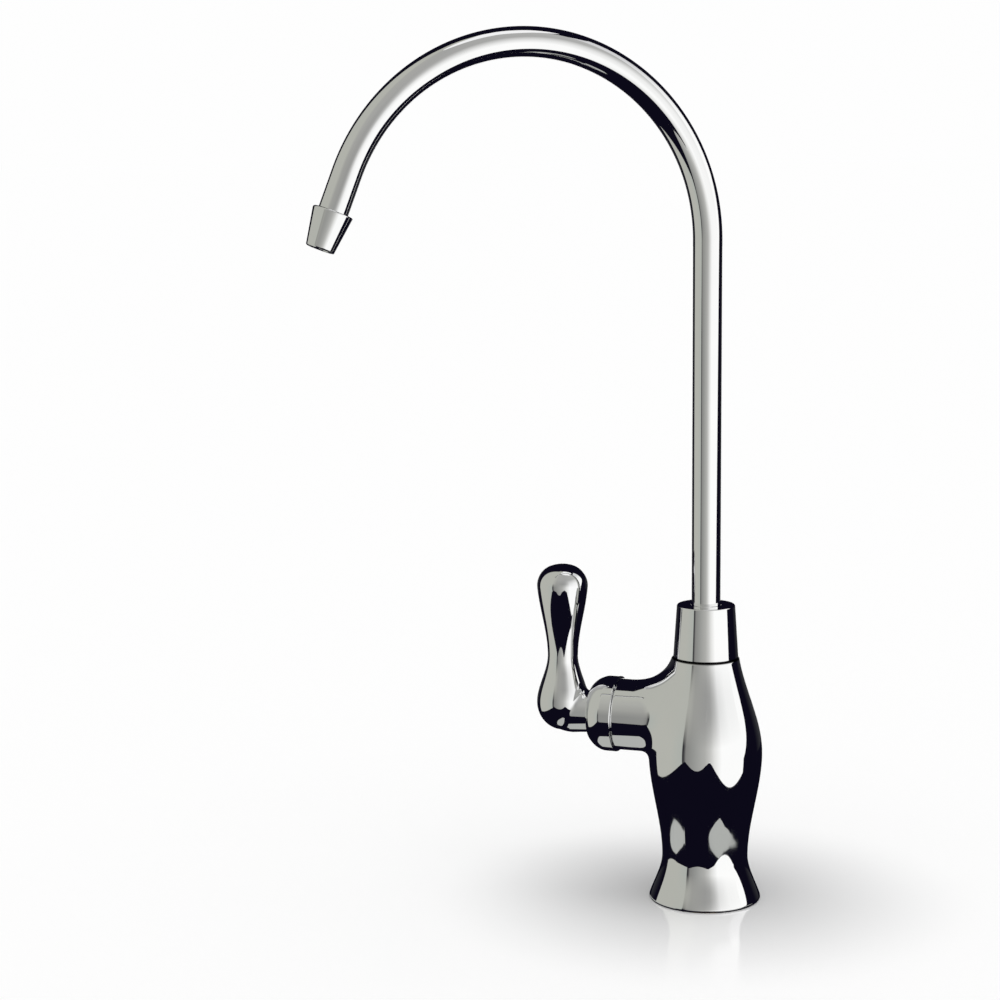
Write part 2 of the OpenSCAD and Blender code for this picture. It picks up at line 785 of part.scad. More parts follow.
module backing_washer() {
    color(RUBBER) ring(washer_r, washer_r + backing_w, backing_z, backing_t);
}

module clamp_washer() {
    color(STEEL) ring(washer_r, washer_r + clamp_w, clamp_z, clamp_t);
}

module lock_washer() {
    color(STEEL)
        difference() {
            ring(washer_r, washer_r + lock_w, lock_z, lock_t);
            translate([0, -lock_gap / 2, lock_z - over])
                cube([washer_r + lock_w + over, lock_gap, lock_t + 2 * over]);
        }
}

module mounting_nut() {
    color(BRASS)
        difference() {
            hexagon(nut_af, nut_z, nut_t);
            translate([0, 0, nut_z - over]) cylinder(r = shank_r + run_gap, h = nut_t + 2 * over);
        }
}

module inlet_connector() {
    groove_h = inlet_ring_d / 2 + ring_gap;
    groove_r = tube_seat_r + inlet_ring_d + 2 * ring_gap;
    color(ACETAL)
        difference() {
            union() {
                hexagon(inlet_af, -shank_len, inlet_grip);
                translate([0, 0, inlet_end_z]) cylinder(r = inlet_r, h = -shank_len - inlet_end_z);
            }
            translate([0, 0, -shank_len]) cylinder(r = shank_r + join_gap, h = inlet_grip + over);
            translate([0, 0, inlet_web_z - over])
                cylinder(r = supply_r - inlet_ledge, h = inlet_web + 2 * over);
            translate([0, 0, inlet_seat_z - over]) cylinder(r = tube_seat_r, h = inlet_seat + over);
            translate([0, 0, inlet_ring_z - groove_h]) cylinder(r = groove_r, h = 2 * groove_h);
            translate([0, 0, inlet_end_z - over]) cylinder(r = collet_r + run_gap, h = collet_len + over);
        }
}

module inlet_o_ring() {
    color(RUBBER) o_ring(tube_seat_r + ring_gap + inlet_ring_d / 2, inlet_ring_d, inlet_ring_z);
}

module inlet_collet() {
    flange_top_z = inlet_end_z - collet_travel - hub_gap;
    shell_top_z = inlet_seat_z - collet_travel - hub_gap;
    flange_bottom_z = flange_top_z - collet_flange_t;
    color(STEEL)
        turned([
            [tube_seat_r, flange_bottom_z], [inlet_r - edge_break, flange_bottom_z],
            [inlet_r, flange_bottom_z + edge_break], [inlet_r, flange_top_z], [collet_r, flange_top_z],
            [collet_r, shell_top_z], [tube_seat_r, shell_top_z]
        ]);
}

spout_tube();
spout_tip();
flow_straightener();
spout_ferrule();
spout_o_rings();
spout_bearing_ring();
spout_collar();
body();
base_seal();
valve_bonnet();
cartridge_housing();
cartridge_o_ring();
seat_seal();
fixed_disc();
moving_disc();
valve_stem();
thrust_washer();
stem_o_rings();
stem_clip();
lever_handle();
handle_screw();
shank();
backing_washer();
clamp_washer();
lock_washer();
mounting_nut();
inlet_connector();
inlet_o_ring();
inlet_collet();
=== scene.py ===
import math

import bpy
import numpy as np
from mathutils import Matrix, Vector


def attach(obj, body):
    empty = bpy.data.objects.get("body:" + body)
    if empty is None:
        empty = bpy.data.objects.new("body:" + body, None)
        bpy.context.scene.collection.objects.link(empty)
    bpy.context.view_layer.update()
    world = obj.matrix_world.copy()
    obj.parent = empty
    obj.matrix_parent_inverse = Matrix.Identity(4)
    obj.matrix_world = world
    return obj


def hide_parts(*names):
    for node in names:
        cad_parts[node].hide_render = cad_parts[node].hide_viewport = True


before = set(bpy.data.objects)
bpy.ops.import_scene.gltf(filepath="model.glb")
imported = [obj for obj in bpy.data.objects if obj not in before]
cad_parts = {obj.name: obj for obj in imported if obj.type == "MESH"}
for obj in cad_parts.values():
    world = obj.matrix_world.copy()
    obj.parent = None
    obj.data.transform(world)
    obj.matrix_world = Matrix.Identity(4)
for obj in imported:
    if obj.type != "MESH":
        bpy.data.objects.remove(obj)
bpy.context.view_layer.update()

# Sizes of the solids, in millimetres, as in the part's source
MM = 0.001
TUBE_R = 5.0
TUBE_IN_R = 4.0
TUBE_SEAT_Z = 80.5
STRAIGHT_H = 231.0
ARCH_R = 66.0
ARCH_SWEEP = math.radians(158.5)
TAIL_LEN = 13.0
TIP_GRIP = 5.0
TIP_LEN = 12.8
TIP_LEDGE_Z = -8.0
TIP_TOP_R = 6.85
TIP_OUT_R = 4.8
TIP_POCKET_R = 4.2
OUTLET_R = 3.2
JOIN_GAP = 0.03
RUN_GAP = 0.05
NECK_Z = 86.6
SPIGOT_R = 8.8
SPIGOT_Z = 97.9
COLLAR_BORE_R = 8.83
COLLAR_BASE_R = 11.33
COLLAR_TOP_R = 10.13
COLLAR_CEILING_Z = 101.0
COLLAR_Z = 105.2
FOOT_R = 19.8
FOOT_FLARE = 0.3
WAIST_R = 15.0
WAIST_Z = 15.5
BELLY_R = 19.85
BELLY_Z = 52.6
NECK_R = 11.68
NECK_SLOPE = 0.16
BODY_WALL = 3.0
CAVITY_Z = 45.5
BOSS_R = 8.95
BASE_SEAL_T = 2.5
SHANK_R = 5.55
SHANK_BORE_R = 3.0
SHANK_TOP_Z = 20.5
SHANK_LEN = 62.0
SOCKET_R = 7.0
SOCKET_FLOOR_Z = 77.0
VALVE_Z = 64.0
VALVE_TURN = math.radians(140)
STUB_R = 12.6
STUB_LEN = 31.2
CHAMBER_R = 9.5
SEAT_L = -2.0
MOUTH_R = 10.76
MOUTH_T = 1.26
SHELL_SKIRT_R = 11.65
SHELL_SKIRT_L = 33.25
NOSE_THREAD_R = 7.53
NOSE_L = 37.4
CLIP_ROOM_R = 6.1
CLIP_ROOM_L = 38.55
STEM_HOLE_R = 4.6
DOME_R = 13.4
DOME_L = 34.9
DOME_DEPTH = 9.0
DOME_END_R = 9.8
DOME_END_L = DOME_L + DOME_DEPTH * math.sqrt(1 - (DOME_END_R / DOME_R) ** 2)
HUB_GAP = 0.3
HUB_SHOW = 1.7
HUB_R = 7.2
HUB_FLARE = 0.6
HUB_END = 11.5
HUB_END_COVER = 2.0
HUB_L = DOME_END_L + HUB_GAP
LEVER_BASE_R = 9.3
LEVER_BASE_H = 2.9
LEVER_DROP = 7.1
LEVER_WAIST_R = 5.38
LEVER_WAIST_H = 20.0
LEVER_L = HUB_L + HUB_SHOW + LEVER_BASE_R
HUB_WIDE_R = HUB_R + HUB_FLARE
HUB_WIDE_L = LEVER_L + LEVER_BASE_R - HUB_END_COVER - HUB_END
STEM_R = 4.03
STEM_END_L = LEVER_L - 2.5
SCREW_L = (HUB_L + STEM_END_L) / 2
SCREW_R = 2.03
KNOB_R = 9.05
KNOB_ROUND = 7.5
KNOB_CROWN_R = KNOB_R - KNOB_ROUND
KNOB_H = 45.1
KNOB_SLOPE = 0.1
KNOB_BLEND = math.atan(KNOB_SLOPE)
KNOB_BLEND_R = KNOB_CROWN_R + KNOB_ROUND * math.cos(KNOB_BLEND)
KNOB_BLEND_H = KNOB_H - KNOB_ROUND * math.sin(KNOB_BLEND)

# Softened edges and fillets of the polished pieces, in millimetres
EDGE_R = 0.4
TIP_EDGE_R = 0.6
SEAM_R = 0.5
# Half width and soft edge of the painted shade band in the joint between collar and body, in millimetres
JOINT_SHADE_HALF = 0.3
JOINT_SHADE_SOFT = 0.3
EDGE_SOFT = 0.6
FOOT_SOFT = 1.2
SHOULDER_SOFT = 0.6
STUB_FILLET = 4.8
STUB_FILLET_TOP = 13.0
STUB_FILLET_UNDER = 3.0
ELBOW_FILLET = 3.0

# Shares and limits of the softening
ELBOW_LEAST = 0.02
ROOM_SHARE = 0.45
SHARP_TURN = math.radians(20)
# Darkest level of the painted shade in the joint between collar and body
JOINT_SHADE_LEVEL = 0.04
TINY = 1e-6

# Boxes in the valve's frame and mesh steps of the cast pieces, in millimetres
BODY_LOW = (-21.1, -21.1, -1.1)
BODY_HIGH = (32.4, 21.1, 99.1)
BODY_STEP = 0.5
LEVER_LOW = (40.6, -10.1, VALVE_Z - 9.1)
LEVER_HIGH = (62.6, 10.1, VALVE_Z + 53.7)
LEVER_STEP = 0.4

# Numbers of points along the spout tube, the collar's lower edge and the dome
RISE_STEPS = 60
ARCH_STEPS = 200
TAIL_STEPS = 12
SEAM_STEPS = 9
DOME_STEPS = 40

AXIS = np.array([math.cos(VALVE_TURN), math.sin(VALVE_TURN), 0.0])
SIDE = np.array([-math.sin(VALVE_TURN), math.cos(VALVE_TURN), 0.0])
UP = np.array([0.0, 0.0, 1.0])


# Meshes

def new_piece(name, vertices, faces, normals, material, body, slot, *nodes):
    """Makes one smooth piece from points in millimetres and puts it on its body."""
    mesh = bpy.data.meshes.new(name)
    points = np.asarray(vertices) * MM
    mesh.from_pydata(points.tolist(), [], [list(map(int, f)) for f in faces], shade_flat=False)
    mesh.normals_split_custom_set_from_vertices(np.asarray(normals).tolist())
    mesh.materials.append(material)
    piece = bpy.data.objects.new(name, mesh)
    bpy.context.scene.collection.objects.link(piece)
    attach(piece, body)
    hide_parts(*nodes)


def unit(vectors):
    return vectors / np.linalg.norm(vectors, axis=-1, keepdims=True)


def soften(outline, radius, steps=5):
    """Rounds the corners of a closed outline of (radius, height) points."""
    points = np.asarray(outline, float)
    made = []
    for before, here, after in zip(np.roll(points, 1, 0), points, np.roll(points, -1, 0)):
        back = before - here
        ahead = after - here
        room = ROOM_SHARE * min(np.linalg.norm(back), np.linalg.norm(ahead))
        back = unit(back)
        ahead = unit(ahead)
        turn = math.pi - math.acos(np.clip(back @ ahead, -1, 1))
        if turn < SHARP_TURN:
            made.append(here)
            continue
        reach = min(room, radius * math.tan(turn / 2))
        arc_r = reach / math.tan(turn / 2)
        centre = here + unit(back + ahead) * math.hypot(reach, arc_r)
        start = here + back * reach - centre
        end = here + ahead * reach - centre
        sweep = math.atan2(start[0] * end[1] - start[1] * end[0], start @ end)
        for k in range(steps + 1):
            a = sweep * k / steps
            made.append(centre + [start[0] * math.cos(a) - start[1] * math.sin(a),
                                  start[0] * math.sin(a) + start[1] * math.cos(a)])
    return np.array(made)


def outline_normals(outline):
    """Outward normals of a closed outline; a long side keeps its own direction at its ends."""
    ahead = np.roll(outline, -1, 0) - outline
    side = np.stack([ahead[:, 1], -ahead[:, 0]], 1)
    area = np.sum(outline[:, 0] * np.roll(outline[:, 1], -1) - np.roll(outline[:, 0], -1) * outline[:, 1])
    if area < 0:
        side = -side
    weight = np.linalg.norm(side, axis=1, keepdims=True)
    heavy = side * weight * weight
    return unit(heavy + np.roll(heavy, 1, 0)), area > 0


def closed_grid(rows, columns):
    """Quads of a grid of points that closes on itself both ways."""
    row, column = np.meshgrid(np.arange(rows), np.arange(columns), indexing="ij")
    next_row = (row + 1) % rows
    next_column = (column + 1) % columns
    corners = [row * columns + column, row * columns + next_column,
               next_row * columns + next_column, next_row * columns + column]
    return np.stack(corners, -1).reshape(-1, 4)


def lathe(outline, origin, axis, across, steps=144):
    """Turns a closed outline of (radius, height) points about an axis."""
    outline = np.asarray(outline, float)
    normals, anticlockwise = outline_normals(outline)
    other = np.cross(axis, across)
    vertices = []
    directions = []
    for k in range(steps):
        a = 2 * math.pi * k / steps
        out = math.cos(a) * across + math.sin(a) * other
        vertices.append(origin + outline[:, :1] * out + outline[:, 1:] * axis)
        directions.append(normals[:, :1] * out + normals[:, 1:] * axis)
    faces = closed_grid(steps, len(outline))
    if anticlockwise:
        faces = faces[:, ::-1]
    return np.concatenate(vertices), faces, np.concatenate(directions)


def hermite(t, h, a, b, ma, mb):
    return ((2 * t**3 - 3 * t**2 + 1) * a + (t**3 - 2 * t**2 + t) * h * ma
            + (3 * t**2 - 2 * t**3) * b + (t**3 - t**2) * h * mb)


def body_r(z):
    """Radius of the body at a height."""
    z = np.clip(z, 0, NECK_Z)
    foot = hermite(z / WAIST_Z, WAIST_Z, FOOT_R, WAIST_R, -FOOT_FLARE, 0)
    rise = BELLY_Z - WAIST_Z
    belly = hermite((z - WAIST_Z) / rise, rise, WAIST_R, BELLY_R, 0, 0)
    fall = NECK_Z - BELLY_Z
    neck = hermite((z - BELLY_Z) / fall, fall, BELLY_R, NECK_R, 0, -NECK_SLOPE)
    return np.where(z < WAIST_Z, foot, np.where(z < BELLY_Z, belly, neck))


def lever_q(h):
    """Squared radius of the lever below its knob, at a height above the valve's axis."""
    base = LEVER_BASE_R**2 * (1 - ((h - LEVER_BASE_H) / (LEVER_BASE_H + LEVER_DROP)) ** 2)
    rise = LEVER_WAIST_H - LEVER_BASE_H
    stem = hermite((h - LEVER_BASE_H) / rise, rise, LEVER_BASE_R, LEVER_WAIST_R, 0, 0) ** 2
    reach = KNOB_BLEND_H - LEVER_WAIST_H
    neck = hermite((h - LEVER_WAIST_H) / reach, reach, LEVER_WAIST_R, KNOB_BLEND_R, 0, KNOB_SLOPE) ** 2
    return np.where(h < LEVER_BASE_H, base, np.where(h < LEVER_WAIST_H, stem, neck))


def hub_q(along):
    """Squared radius of the lever's hub at a place along the stub."""
    cone = HUB_R + HUB_FLARE * (along - HUB_L) / (HUB_WIDE_L - HUB_L)
    end = HUB_WIDE_R**2 * (1 - ((along - HUB_WIDE_L) / HUB_END) ** 2)
    return np.where(along < HUB_WIDE_L, cone**2, end)


def smooth_max(a, b, k):
    return np.maximum(a, b) + np.maximum(k - np.abs(a - b), 0) ** 2 / (4 * k)


def smooth_min(a, b, k):
    return -smooth_max(-a, -b, k)


def slope_of(curve, x, step=0.01):
    return (curve(x + step) - curve(x - step)) / (2 * step)


def body_field(points):
    """Distance to the body's surface, negative inside; points are (along the stub, across it, up)."""
    along, across, z = points.T
    rho = np.hypot(along, across)
    lean = np.sqrt(1 + slope_of(body_r, z) ** 2)
    outer = (rho - body_r(z)) / lean
    round_stub = np.hypot(across, z - VALVE_Z)
    stub = np.maximum(smooth_max(round_stub - STUB_R, along - STUB_LEN, EDGE_SOFT), -along)
    lift = (z - VALVE_Z) / np.maximum(round_stub, TINY)
    ahead = np.clip(along / np.maximum(rho, TINY), 0, 1)
    fillet = STUB_FILLET + (STUB_FILLET_TOP - STUB_FILLET) * (np.maximum(lift, 0) * ahead) ** 2
    fillet = fillet - (STUB_FILLET - STUB_FILLET_UNDER) * np.maximum(-lift, 0) ** 2
    form = smooth_min(smooth_max(outer, -z, FOOT_SOFT), stub, fillet)
    form = smooth_max(form, z - NECK_Z, SHOULDER_SOFT)
    spigot = np.maximum(smooth_max(rho - SPIGOT_R, z - SPIGOT_Z, EDGE_SOFT), VALVE_Z - z)
    solid = np.minimum(form, spigot)
    chamber = np.maximum(round_stub - CHAMBER_R, SEAT_L - along)
    mouth = np.maximum(round_stub - MOUTH_R, STUB_LEN - MOUTH_T - along)
    socket = np.maximum(rho - SOCKET_R, SOCKET_FLOOR_Z - z)
    boss = np.maximum(rho - BOSS_R, BASE_SEAL_T - z)
    hollow = np.maximum(np.maximum(outer + BODY_WALL / lean, z - CAVITY_Z), -boss)
    hole = np.maximum(rho - SHANK_R - JOIN_GAP, z - SHANK_TOP_Z)
    for cut in (chamber, mouth, socket, hollow, hole):
        solid = np.maximum(solid, -cut)
    return solid


def lever_field(points):
    """Distance to the lever's surface, negative inside; points are (along the stub, across it, up)."""
    along, across, z = points.T
    h = z - VALVE_Z
    rho2 = (along - LEVER_L) ** 2 + across**2
    arm_fall = slope_of(lever_q, h)
    arm_steep = np.sqrt(4 * rho2 + arm_fall**2 + TINY)
    arm = (rho2 - lever_q(h)) / arm_steep
    knob = np.hypot(np.maximum(np.sqrt(rho2) - KNOB_CROWN_R, 0), h - KNOB_H) - KNOB_ROUND
    handle = np.where(h < KNOB_BLEND_H, arm, knob)
    round2 = across**2 + h**2
    hub_fall = slope_of(hub_q, along)
    hub_steep = np.sqrt(4 * round2 + hub_fall**2 + TINY)
    hub = smooth_max((round2 - hub_q(along)) / hub_steep, HUB_L - along, EDGE_SOFT)
    product = -2 * (along - LEVER_L) * hub_fall + 4 * across**2 - 2 * h * arm_fall
    alike = product / (arm_steep * hub_steep)
    solid = smooth_min(handle, hub, ELBOW_FILLET * np.clip(1 - alike, ELBOW_LEAST, 1))
    solid = smooth_max(solid, HUB_L - along, EDGE_SOFT)
    stem = np.maximum(np.sqrt(round2) - STEM_R, along - STEM_END_L)
    screw = np.maximum(np.hypot(along - SCREW_L, across) - SCREW_R, h)
    return np.maximum(np.maximum(solid, -stem), -screw)


def surface_net(field, low, high, step):
    """Closed quad mesh of the surface where the field is zero."""
    axes = [np.arange(a, b + step, step) for a, b in zip(low, high)]
    grid = np.stack(np.meshgrid(*axes, indexing="ij"), -1)
    value = field(grid.reshape(-1, 3)).reshape(grid.shape[:3])
    cells = tuple(n - 1 for n in value.shape)
    count = np.zeros(cells)
    total = np.zeros(cells + (3,))

    def corner(offset):
        return value[tuple(slice(o, o + n) for o, n in zip(offset, cells))]

    for d in range(3):
        for k in range(4):
            offset = np.insert([k % 2, k // 2], d, 0)
            ahead = np.insert([k % 2, k // 2], d, 1)
            a = corner(offset)
            b = corner(ahead)
            cross = (a < 0) != (b < 0)
            share = np.where(cross, a / np.where(cross, a - b, 1), 0)
            count += cross
            total += cross[..., None] * (offset + share[..., None] * (ahead - offset))
    active = count > 0
    index = np.full(cells, -1)
    index[active] = np.arange(active.sum())
    places = np.argwhere(active) + total[active] / count[active][:, None]
    vertices = np.asarray(low) + step * places
    faces = []
    for d in range(3):
        signs = np.moveaxis(value < 0, d, 0)
        numbers = np.moveaxis(index, d, 0)
        cross = signs[:-1, 1:-1, 1:-1] != signs[1:, 1:-1, 1:-1]
        i, j, k = np.argwhere(cross).T
        inside = signs[:-1, 1:-1, 1:-1][cross]
        corners = [numbers[i, j, k], numbers[i, j + 1, k],
                   numbers[i, j + 1, k + 1], numbers[i, j, k + 1]]
        quads = np.stack(corners, 1)
        flip = inside == (d == 1)
        quads[flip] = quads[flip][:, ::-1]
        faces.append(quads)
    return vertices, np.concatenate(faces)


def gradient(field, points, step=0.004):
    return np.stack([(field(points + e) - field(points - e)) / (2 * step) for e in np.eye(3) * step], 1)


def settle(field, points, longest, rounds=3, least=0.1):
    """Moves points onto the surface."""
    for _ in range(rounds):
        g = gradient(field, points)
        move = field(points)[:, None] * g / np.maximum((g * g).sum(1, keepdims=True), least)
        size = np.linalg.norm(move, axis=1, keepdims=True)
        points = points - move * np.minimum(1, longest / np.maximum(size, TINY))
    return points


def relax(points, faces):
    """Moves each point half way to the middle of its neighbours."""
    a = faces.ravel()
    b = np.roll(faces, -1, 1).ravel()
    total = np.zeros_like(points)
    count = np.zeros(len(points))
    for start, end in ((a, b), (b, a)):
        count += np.bincount(start, minlength=len(points))
        for d in range(3):
            total[:, d] += np.bincount(start, points[end, d], len(points))
    return 0.5 * points + 0.5 * total / count[:, None]


def cast(field, low, high, step, rounds=3):
    """Smooth mesh of a field in the valve's frame, turned into the part's frame."""
    points, faces = surface_net(field, low, high, step)
    for _ in range(rounds):
        points = settle(field, relax(points, faces), step / 2)
    normals = unit(gradient(field, points))
    turn = np.stack([AXIS, SIDE, UP])
    return points @ turn, faces, normals @ turn


def arch_point(a):
    """Place and direction of the spout tube's middle at an angle round its arch."""
    ray = np.array([math.cos(a), 0, math.sin(a)])
    along = np.array([-math.sin(a), 0, math.cos(a)])
    return np.array([-ARCH_R, 0, STRAIGHT_H]) + ARCH_R * ray, along


def spout_path():
    """Points and directions along the middle of the spout tube."""
    straight = [(np.array([0, 0, z]), UP) for z in np.linspace(TUBE_SEAT_Z, STRAIGHT_H, RISE_STEPS)]
    arch = [arch_point(a) for a in np.linspace(0, ARCH_SWEEP, ARCH_STEPS)[1:]]
    end, along = arch[-1]
    tail = [(end + along * s, along) for s in np.linspace(0, TAIL_LEN + TIP_GRIP, TAIL_STEPS)[1:]]
    return straight + arch + tail


def swept_tube(path, outer_r, inner_r, steps=96):
    """Tube with an outer and an inner wall and flat ends along a path in the XZ plane."""
    across = np.array([0, 1.0, 0])
    angles = np.arange(steps) * 2 * math.pi / steps
    vertices = []
    directions = []

    def ring(place, along, radius, sign, normal):
        other = np.cross(along, across)
        out = np.cos(angles)[:, None] * across + np.sin(angles)[:, None] * other
        vertices.append(place + radius * out)
        directions.append(sign * out if normal is None else np.tile(normal, (steps, 1)))

    first, last = path[0], path[-1]
    for place, along in path:
        ring(place, along, outer_r, 1, None)
    ring(*last, outer_r, 1, last[1])
    ring(*last, inner_r, 1, last[1])
    for place, along in reversed(path):
        ring(place, along, inner_r, -1, None)
    ring(*first, inner_r, 1, -first[1])
    ring(*first, outer_r, 1, -first[1])
    faces = closed_grid(len(vertices), steps)
    return np.concatenate(vertices), faces, np.concatenate(directions)


# Materials

class Nodes:
    """Small helper that wires one node material."""

    def __init__(self, name):
        self.material = bpy.data.materials.new(name)
        self.material.use_nodes = True
        self.tree = self.material.node_tree
        self.shader = self.tree.nodes["Principled BSDF"]
        self.coordinates = self.tree.nodes.new("ShaderNodeTexCoord").outputs["Object"]

    def set(self, **values):
        for key, value in values.items():
            self.shader.inputs[key.replace("_", " ")].default_value = value

    def link(self, output, name):
        self.tree.links.new(output, self.shader.inputs[name])

    def noise(self, scale, detail=4.0, stretch=(1, 1, 1)):
        mapping = self.tree.nodes.new("ShaderNodeMapping")
        mapping.inputs["Scale"].default_value = stretch
        self.tree.links.new(self.coordinates, mapping.inputs["Vector"])
        node = self.tree.nodes.new("ShaderNodeTexNoise")
        node.inputs["Scale"].default_value = scale
        node.inputs["Detail"].default_value = detail
        self.tree.links.new(mapping.outputs["Vector"], node.inputs["Vector"])
        return node.outputs["Fac"]

    def spread(self, value, low, high, start=0.3, end=0.7):
        node = self.tree.nodes.new("ShaderNodeMapRange")
        node.inputs["From Min"].default_value = start
        node.inputs["From Max"].default_value = end
        node.inputs["To Min"].default_value = low
        node.inputs["To Max"].default_value = high
        self.tree.links.new(value, node.inputs["Value"])
        return node.outputs["Result"]

    def ramp(self, value, *tones):
        node = self.tree.nodes.new("ShaderNodeValToRGB")
        while len(node.color_ramp.elements) < len(tones):
            node.color_ramp.elements.new(0.5)
        for element, (place, colour) in zip(node.color_ramp.elements, tones):
            element.position = place
            element.color = (*colour, 1)
        self.tree.links.new(value, node.inputs["Fac"])
        return node.outputs["Color"]

    def seam(self, colour, z, half, soft):
        """Darkens a colour nearly to black in a thin level band: painted shade in the joint between two
        parts.
        """
        split = self.tree.nodes.new("ShaderNodeSeparateXYZ")
        self.tree.links.new(self.coordinates, split.inputs["Vector"])
        gap = self.tree.nodes.new("ShaderNodeMath")
        gap.operation = "SUBTRACT"
        gap.inputs[1].default_value = z * MM
        self.tree.links.new(split.outputs["Z"], gap.inputs[0])
        size = self.tree.nodes.new("ShaderNodeMath")
        size.operation = "ABSOLUTE"
        self.tree.links.new(gap.outputs["Value"], size.inputs[0])
        shade = self.spread(size.outputs["Value"], JOINT_SHADE_LEVEL, 1.0, half * MM, (half + soft) * MM)
        mix = self.tree.nodes.new("ShaderNodeMix")
        mix.data_type = "RGBA"
        mix.blend_type = "MULTIPLY"
        mix.inputs["Factor"].default_value = 1.0
        self.tree.links.new(colour, mix.inputs["A"])
        self.tree.links.new(shade, mix.inputs["B"])
        return mix.outputs["Result"]

    def bump(self, height, strength, distance):
        node = self.tree.nodes.new("ShaderNodeBump")
        node.inputs["Strength"].default_value = strength
        node.inputs["Distance"].default_value = distance
        self.tree.links.new(height, node.inputs["Height"])
        self.link(node.outputs["Normal"], "Normal")


def chrome_material(name="chrome", joint_shade_z=None):
    """Bright chrome plate: smudges in the gloss and the faint swell of a hand-polished casting."""
    n = Nodes(name)
    n.set(Metallic=1.0)
    colour = n.ramp(n.noise(35.0), (0.3, (0.88, 0.885, 0.89)), (0.7, (0.915, 0.915, 0.915)))
    # Given a height, a thin band there is darkened nearly to black: painted shade in the joint between
    # collar and body
    if joint_shade_z is not None:
        colour = n.seam(colour, joint_shade_z, JOINT_SHADE_HALF, JOINT_SHADE_SOFT)
    n.link(colour, "Base Color")
    n.link(n.spread(n.noise(90.0, 6.0), 0.015, 0.05), "Roughness")
    n.bump(n.noise(55.0, 2.0), 0.02, 0.002)
    return n.material


def brass_material():
    """Turned brass with fine tool marks and a little tarnish."""
    n = Nodes("brass")
    n.set(Metallic=1.0)
    tarnish = n.noise(140.0, 6.0)
    n.link(n.ramp(tarnish, (0.3, (0.52, 0.36, 0.14)), (0.65, (0.72, 0.53, 0.24))), "Base Color")
    n.link(n.spread(n.noise(260.0, 5.0), 0.2, 0.42), "Roughness")
    n.bump(n.noise(900.0, 3.0, (1, 1, 6)), 0.12, 0.0002)
    return n.material


def steel_material():
    """Pressed and brushed steel."""
    n = Nodes("steel")
    n.set(Metallic=1.0)
    n.link(n.ramp(n.noise(110.0, 6.0), (0.3, (0.46, 0.47, 0.49)), (0.7, (0.6, 0.61, 0.63))), "Base Color")
    n.link(n.spread(n.noise(420.0, 5.0, (1, 8, 1)), 0.24, 0.44), "Roughness")
    n.bump(n.noise(700.0, 4.0, (1, 9, 1)), 0.1, 0.0002)
    return n.material


def rubber_material():
    """Moulded black rubber with a dusty bloom."""
    n = Nodes("rubber")
    bloom = n.noise(180.0, 6.0)
    n.link(n.ramp(bloom, (0.3, (0.017, 0.017, 0.019)), (0.7, (0.042, 0.042, 0.045))), "Base Color")
    n.link(n.spread(n.noise(320.0, 5.0), 0.55, 0.8), "Roughness")
    n.bump(n.noise(2200.0, 3.0), 0.15, 0.0002)
    return n.material


def ceramic_material():
    """Lapped white alumina."""
    n = Nodes("ceramic")
    n.link(n.ramp(n.noise(300.0, 6.0), (0.3, (0.84, 0.83, 0.79)), (0.7, (0.9, 0.89, 0.86))), "Base Color")
    n.link(n.spread(n.noise(500.0, 4.0), 0.16, 0.3), "Roughness")
    n.bump(n.noise(3000.0, 2.0), 0.04, 0.0001)
    return n.material


def acetal_material():
    """Moulded white acetal with a soft gloss."""
    n = Nodes("acetal")
    n.link(n.ramp(n.noise(90.0, 5.0), (0.3, (0.68, 0.69, 0.7)), (0.7, (0.75, 0.76, 0.765))), "Base Color")
    n.link(n.spread(n.noise(240.0, 5.0), 0.3, 0.46), "Roughness")
    n.bump(n.noise(1600.0, 3.0), 0.06, 0.0002)
    return n.material


MATERIALS = {
    "chrome": chrome_material(),
    "brass": brass_material(),
    "steel": steel_material(),
    "rubber": rubber_material(),
    "ceramic": ceramic_material(),
    "acetal": acetal_material(),
}
# Chrome with painted shade in the joint at the neck, used for the collar and the body
CHROME_WITH_JOINT_SHADE = chrome_material("chrome_joint_shade", NECK_Z)
NODE_SLOTS = {
    "flow_straightener": "acetal",
    "spout_ferrule": "brass",
    "spout_o_rings": "rubber",
    "spout_bearing_ring": "acetal",
    "base_seal": "rubber",
    "cartridge_housing": "brass",
    "cartridge_o_ring": "rubber",
    "seat_seal": "rubber",
    "fixed_disc": "ceramic",
    "moving_disc": "ceramic",
    "valve_stem": "brass",
    "thrust_washer": "acetal",
    "stem_o_rings": "rubber",
    "stem_clip": "steel",
    "handle_screw": "steel",
    "backing_washer": "rubber",
    "clamp_washer": "steel",
    "lock_washer": "steel",
    "mounting_nut": "brass",
    "inlet_connector": "acetal",
    "inlet_o_ring": "rubber",
    "inlet_collet": "steel",
}


def dress_nodes():
    for name, slot in NODE_SLOTS.items():
        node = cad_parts[name]
        node.data.materials.clear()
        node.data.materials.append(MATERIALS[slot])


# Pieces

def chrome_piece(name, shape, body, node, material=MATERIALS["chrome"]):
    new_piece(name, *shape, material, body, "chrome", node)


def make_spout():
    tube = swept_tube(spout_path(), TUBE_R, TUBE_IN_R)
    chrome_piece("spout_tube_polished", tube, "spout", "spout_tube")
    end, along = arch_point(ARCH_SWEEP)
    mouth = end + along * TAIL_LEN
    grip_r = TUBE_R + JOIN_GAP
    sleeve = soften([
        (grip_r, 0), (TIP_TOP_R, 0), (TIP_OUT_R, -TIP_LEN), (OUTLET_R, -TIP_LEN), (OUTLET_R, TIP_LEDGE_Z),
        (TIP_POCKET_R, TIP_LEDGE_Z), (TIP_POCKET_R, -TIP_GRIP), (grip_r, -TIP_GRIP)
    ], TIP_EDGE_R)
    across = np.array([0, 1.0, 0])
    chrome_piece("spout_sleeve_polished", lathe(sleeve, mouth, -along, across), "spout", "spout_tip")


